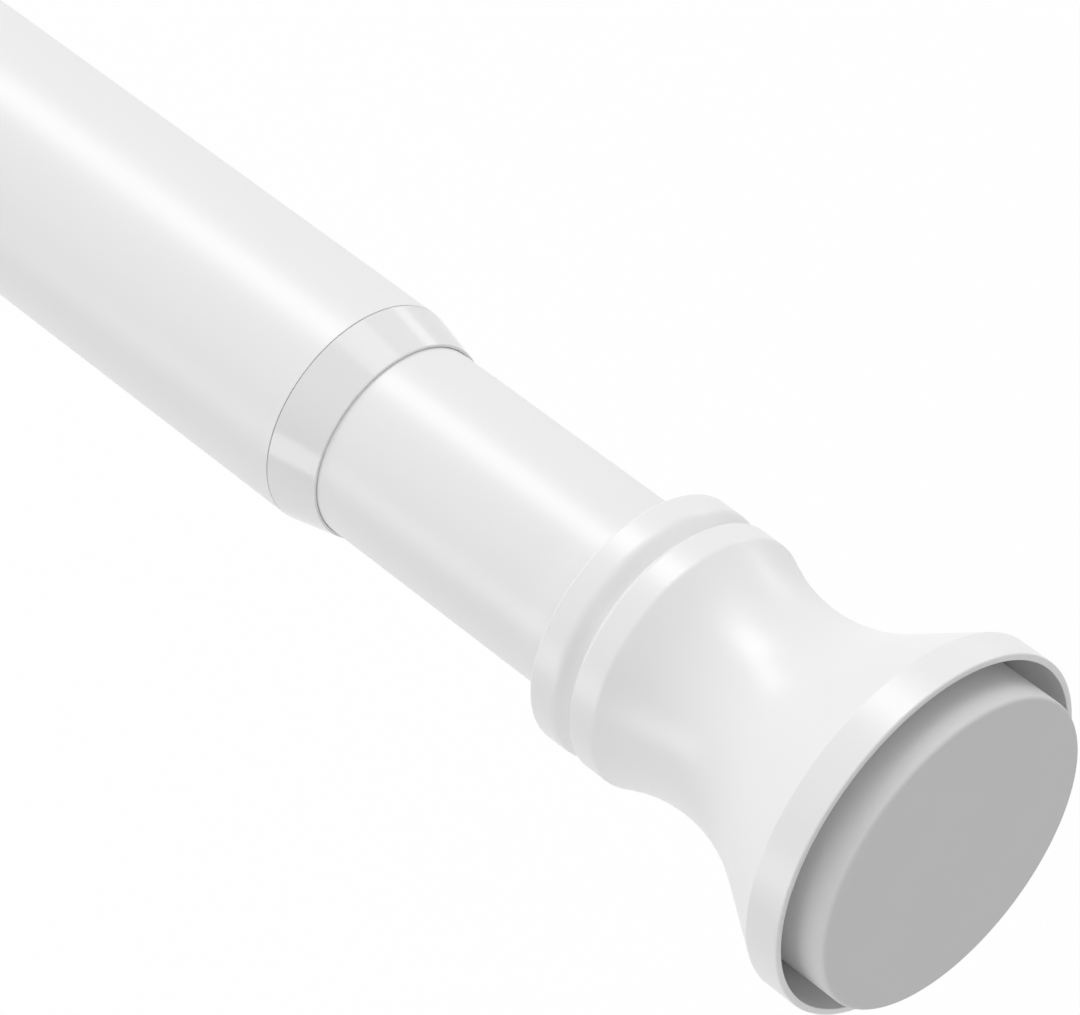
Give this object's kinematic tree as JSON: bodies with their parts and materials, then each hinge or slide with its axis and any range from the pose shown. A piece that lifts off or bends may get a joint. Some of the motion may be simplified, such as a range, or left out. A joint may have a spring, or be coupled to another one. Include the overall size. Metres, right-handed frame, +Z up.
{
  "type": "spring tension rod",
  "caption": "White telescoping curtain rod held between walls by an inner spring, with a tapered collar, trumpet-shaped end bells and grey rubber pads.",
  "frame": {"origin": "centre of the wide tube's pad face, which presses on the wall", "axes": "+X along the rod from the wide tube's pad to the narrow tube's pad, +Z up as the rod hangs in use"},
  "size_m": [0.643, 0.0402, 0.0402],
  "materials": {
    "tube_paint": "satin white enamel over steel",
    "white_plastic": "glossy white moulding",
    "pad_rubber": "matt grey elastomer",
    "natural_nylon": "natural moulding",
    "bright_steel": "zinc plated",
    "ring_rubber": "black elastomer"
  },
  "bodies": {
    "outer_tube": {"outer_tube": "tube_paint", "tube_collar": "white_plastic", "outer_end_bell": "white_plastic", "outer_end_plug": "natural_nylon", "outer_end_pad": "pad_rubber"},
    "lock": {"split_expander": "natural_nylon", "drag_ring": "ring_rubber"},
    "wedge": {"wedge_nut": "natural_nylon"},
    "spindle": {"lock_spindle": "bright_steel", "spindle_tail_clip": "bright_steel", "thrust_washer": "bright_steel", "spring_follower": "natural_nylon", "follower_clip": "bright_steel"},
    "inner_tube": {"inner_tube": "tube_paint", "inner_end_bell": "white_plastic", "inner_end_plug": "natural_nylon", "inner_end_pad": "pad_rubber", "guide_bush": "natural_nylon", "spring_stop": "natural_nylon", "tension_spring": "bright_steel"}
  },
  "joints": [
    {"name": "telescope", "type": "slide", "parent": "outer_tube", "child": "lock", "axis": [1, 0, 0], "range_m": [-0.01, 0.271]},
    {"name": "twist", "type": "hinge", "parent": "lock", "child": "spindle", "pos_m": [0.1, 0, 0], "axis": [1, 0, 0], "range_deg": [0, 360]},
    {"name": "wedge_slide", "type": "slide", "parent": "lock", "child": "wedge", "axis": [1, 0, 0], "range_m": [-0.0021, 0]},
    {"name": "spring_travel", "type": "slide", "parent": "spindle", "child": "inner_tube", "axis": [1, 0, 0], "range_m": [-0.024, 0], "stiffness_N_per_m": 2890, "springref_m": 0.006, "deforming": ["tension_spring"]}
  ],
  "couplings": [
    {"joint": "wedge_slide", "follows": "twist", "m_per_rad": -0.00031831}
  ]
}
